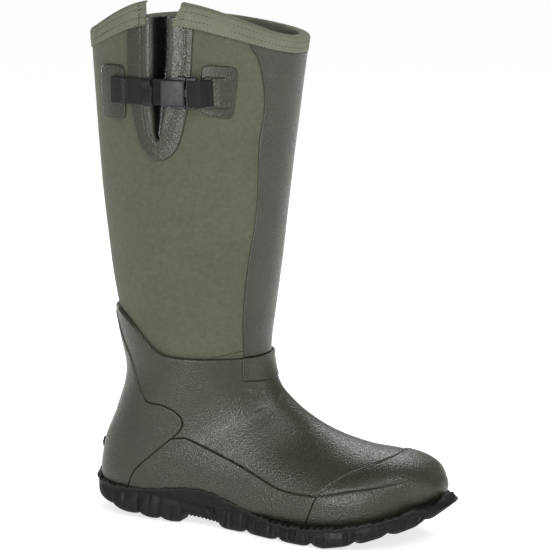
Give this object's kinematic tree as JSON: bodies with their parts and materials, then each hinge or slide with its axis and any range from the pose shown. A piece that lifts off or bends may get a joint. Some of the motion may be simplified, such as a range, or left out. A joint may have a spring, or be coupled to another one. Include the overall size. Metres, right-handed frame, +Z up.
{
  "type": "insulated hunting boot",
  "caption": "Knee-high insulated rubber boot for the right foot, with a lugged outsole and an adjustable side gusset closed by a buckled strap.",
  "frame": {"origin": "on the floor under the middle of the boot's length and width", "axes": "+X towards the toe, +Z up the leg, -Y the outer side with the strap"},
  "size_m": [0.3029, 0.1392, 0.4095],
  "materials": {
    "neoprene": "matt knit face of insulating neoprene, olive",
    "lining": "dark knitted lining",
    "rubber": "dark olive rubber with a fine pebbled grain, satin",
    "binding": "light olive ribbed binding tape",
    "webbing": "black woven webbing",
    "buckle": "dark grey moulded plastic, satin",
    "sole": "black moulded rubber, matt",
    "foam": "grey foam",
    "board": "fibre board",
    "steel": "spring steel strip"
  },
  "bodies": {
    "boot": {"neoprene_shaft": "neoprene", "neoprene_foot": "neoprene", "lining_sock": "lining", "lasting_board": "board", "footbed": "foam", "foot_shell": "rubber", "heel_counter": "rubber", "toe_cap": "rubber", "outer_mudguard": "rubber", "inner_mudguard": "rubber", "shin_guard_tab": "rubber", "shin_panel": "rubber", "gusset_overlay": "rubber", "gusset_pleat": "rubber", "collar_binding": "binding", "rear_strap_patch": "rubber", "front_strap_patch": "rubber", "rear_strap": "webbing", "strap_tail": "webbing", "front_strap": "webbing", "buckle_housing": "buckle", "outsole": "sole", "midsole": "foam", "shank": "steel", "kick_lug": "sole"},
    "buckle_male": {"buckle_base": "buckle"},
    "upper_prong": {"prong_upper": "buckle"},
    "lower_prong": {"prong_lower": "buckle"}
  },
  "joints": [
    {"name": "buckle_release", "type": "slide", "parent": "boot", "child": "buckle_male", "axis": [0.9907, 0.1363, 0], "range_m": [0, 0.012], "deforming": ["front_strap"]},
    {"name": "upper_prong_squeeze", "type": "hinge", "parent": "buckle_male", "child": "upper_prong", "pos_m": [-0.03867, -0.06365, 0.35196], "axis": [0.1363, -0.9907, 0], "range_deg": [0, 10], "stiffness_Nm_per_rad": 0.02},
    {"name": "lower_prong_squeeze", "type": "hinge", "parent": "buckle_male", "child": "lower_prong", "pos_m": [-0.03867, -0.06365, 0.33176], "axis": [0.1363, -0.9907, 0], "range_deg": [-10, 0], "stiffness_Nm_per_rad": 0.02}
  ],
  "couplings": [
    {"joint": "lower_prong_squeeze", "follows": "upper_prong_squeeze", "ratio": -1}
  ]
}
